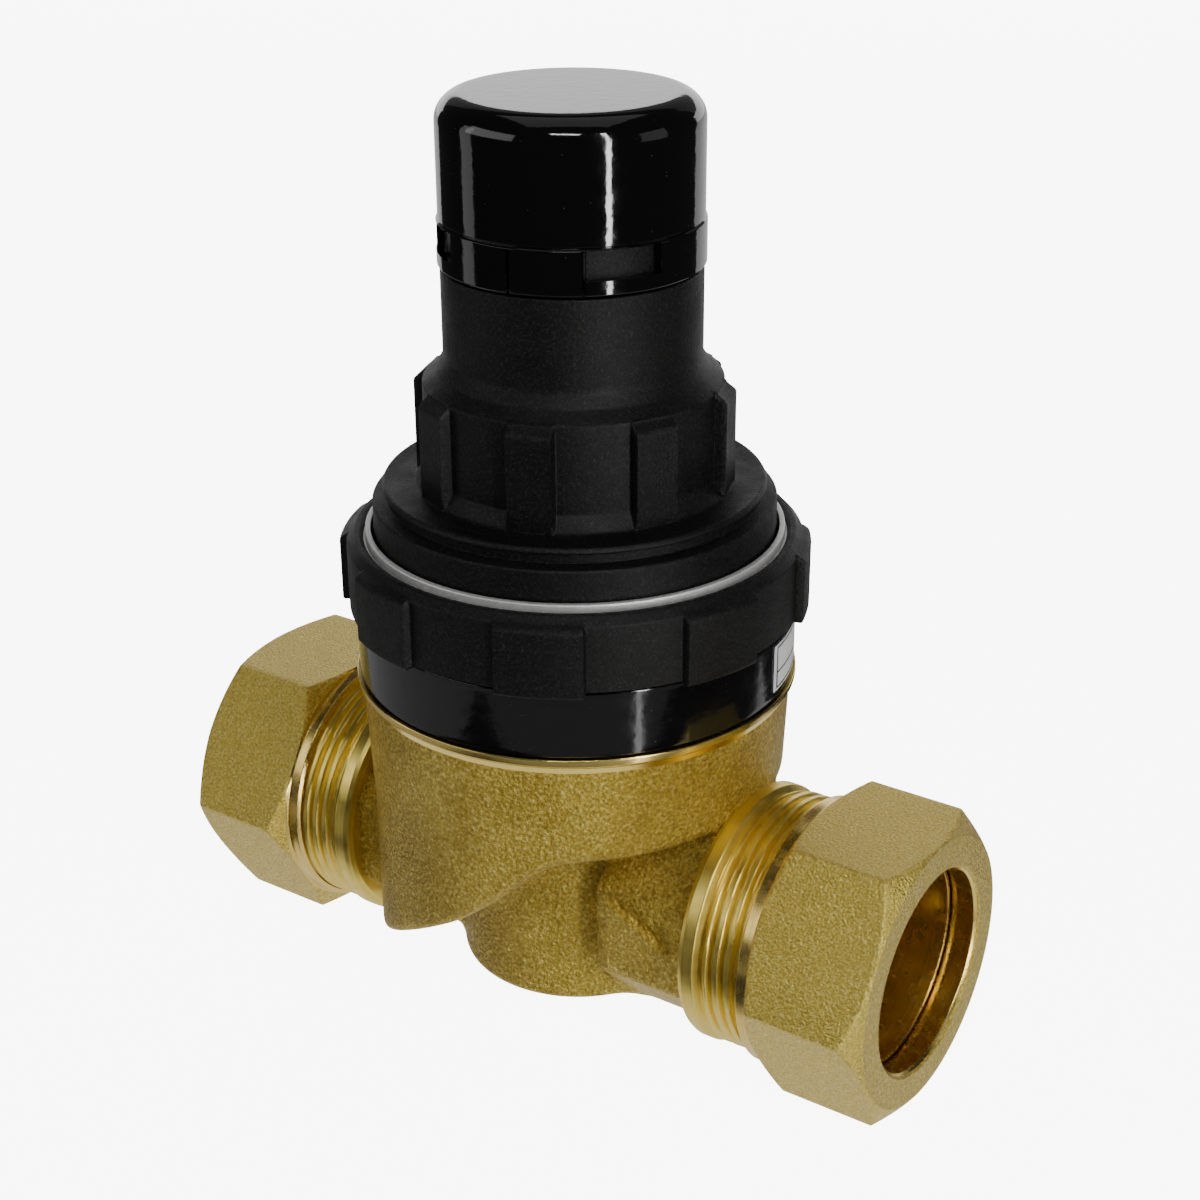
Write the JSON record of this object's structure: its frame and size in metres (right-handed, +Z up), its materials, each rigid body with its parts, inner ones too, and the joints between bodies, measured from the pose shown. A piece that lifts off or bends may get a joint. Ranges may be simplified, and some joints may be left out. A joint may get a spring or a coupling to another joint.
{
  "type": "pressure reducing valve",
  "caption": "Compact in-line water pressure reducing valve: brass body with compression ends, diaphragm cartridge, spring bonnet held by a ring nut, and a pull-off cap over the adjusting screw.",
  "frame": {"origin": "middle of the footprint, at the height of the two nuts' lower flats, 15 mm under the pipe axis", "axes": "+X along the pipe towards the outlet, +Z up the spindle towards the cap, +Y away from the side with the flow arrow"},
  "size_m": [0.0894, 0.0498, 0.1014],
  "materials": {
    "cast_brass": "cast and shot-blasted, with machined threads and flange",
    "nut_brass": "satin, fine grain, with machined ends",
    "olive_brass": "turned, bright",
    "stem_brass": "turned",
    "steel": "bright",
    "spring_steel": "drawn wire, dark",
    "black_nylon": "glass-filled, fine grain, satin",
    "gloss_black": "high gloss",
    "white_label": "film label, blank",
    "white_acetal": "moulded",
    "black_rubber": "moulded"
  },
  "bodies": {
    "valve": {"valve_body": "cast_brass", "identification_band": "gloss_black", "blank_label": "white_label", "spring_bonnet": "black_nylon", "cartridge_housing": "white_acetal", "cartridge_upper_o_ring": "black_rubber", "cartridge_lower_o_ring": "black_rubber", "stem_o_ring": "black_rubber", "strainer": "steel", "diaphragm": "black_rubber", "adjusting_spring": "spring_steel"},
    "cap": {"tamper_cap": "gloss_black"},
    "spring_plate": {"upper_spring_plate": "steel"},
    "screw": {"adjusting_screw": "stem_brass"},
    "stem": {"valve_stem": "stem_brass", "spring_cup": "steel", "stem_nut": "steel", "lower_diaphragm_plate": "stem_brass", "disc_holder": "stem_brass", "seat_washer": "black_rubber", "disc_retaining_screw": "steel"},
    "washer": {"slip_washer": "steel"},
    "ring_nut": {"union_ring_nut": "black_nylon"},
    "outlet_olive_body": {"outlet_olive": "olive_brass"},
    "outlet_nut": {"outlet_compression_nut": "nut_brass"},
    "inlet_olive_body": {"inlet_olive": "olive_brass"},
    "inlet_nut": {"inlet_compression_nut": "nut_brass"}
  },
  "joints": [
    {"name": "cap_pull_off", "type": "slide", "parent": "valve", "child": "cap", "axis": [0, 0, 1], "range_m": [0, 0.016]},
    {"name": "spring_plate_travel", "type": "slide", "parent": "valve", "child": "spring_plate", "axis": [0, 0, 1], "range_m": [-0.0038, 0.0038], "deforming": ["adjusting_spring"]},
    {"name": "adjusting_screw_turn", "type": "hinge", "parent": "spring_plate", "child": "screw", "pos_m": [0, 0, 0.09], "axis": [0, 0, 1], "range_deg": [-900, 900]},
    {"name": "stem_lift", "type": "slide", "parent": "valve", "child": "stem", "axis": [0, 0, 1], "range_m": [0, 0.0016], "stiffness_N_per_m": 16000, "deforming": ["diaphragm"]},
    {"name": "washer_rise", "type": "slide", "parent": "valve", "child": "washer", "axis": [0, 0, 1], "range_m": [0, 0.00452]},
    {"name": "ring_nut_turn", "type": "hinge", "parent": "washer", "child": "ring_nut", "pos_m": [0, 0, 0.051], "axis": [0, 0, 1], "range_deg": [0, 1080]},
    {"name": "outlet_olive_slide", "type": "slide", "parent": "valve", "child": "outlet_olive_body", "axis": [1, 0, 0], "range_m": [0, 0.00562]},
    {"name": "outlet_nut_turn", "type": "hinge", "parent": "outlet_olive_body", "child": "outlet_nut", "pos_m": [0.037, 0, 0.015], "axis": [1, 0, 0], "range_deg": [0, 1440]},
    {"name": "inlet_olive_slide", "type": "slide", "parent": "valve", "child": "inlet_olive_body", "axis": [-1, 0, 0], "range_m": [0, 0.00562]},
    {"name": "inlet_nut_turn", "type": "hinge", "parent": "inlet_olive_body", "child": "inlet_nut", "pos_m": [-0.037, 0, 0.015], "axis": [-1, 0, 0], "range_deg": [0, 1440]}
  ],
  "couplings": [
    {"joint": "spring_plate_travel", "follows": "adjusting_screw_turn", "m_per_rad": 0.00023873},
    {"joint": "washer_rise", "follows": "ring_nut_turn", "m_per_rad": 0.00023873},
    {"joint": "outlet_olive_slide", "follows": "outlet_nut_turn", "m_per_rad": 0.00022282},
    {"joint": "inlet_olive_slide", "follows": "inlet_nut_turn", "m_per_rad": 0.00022282}
  ]
}
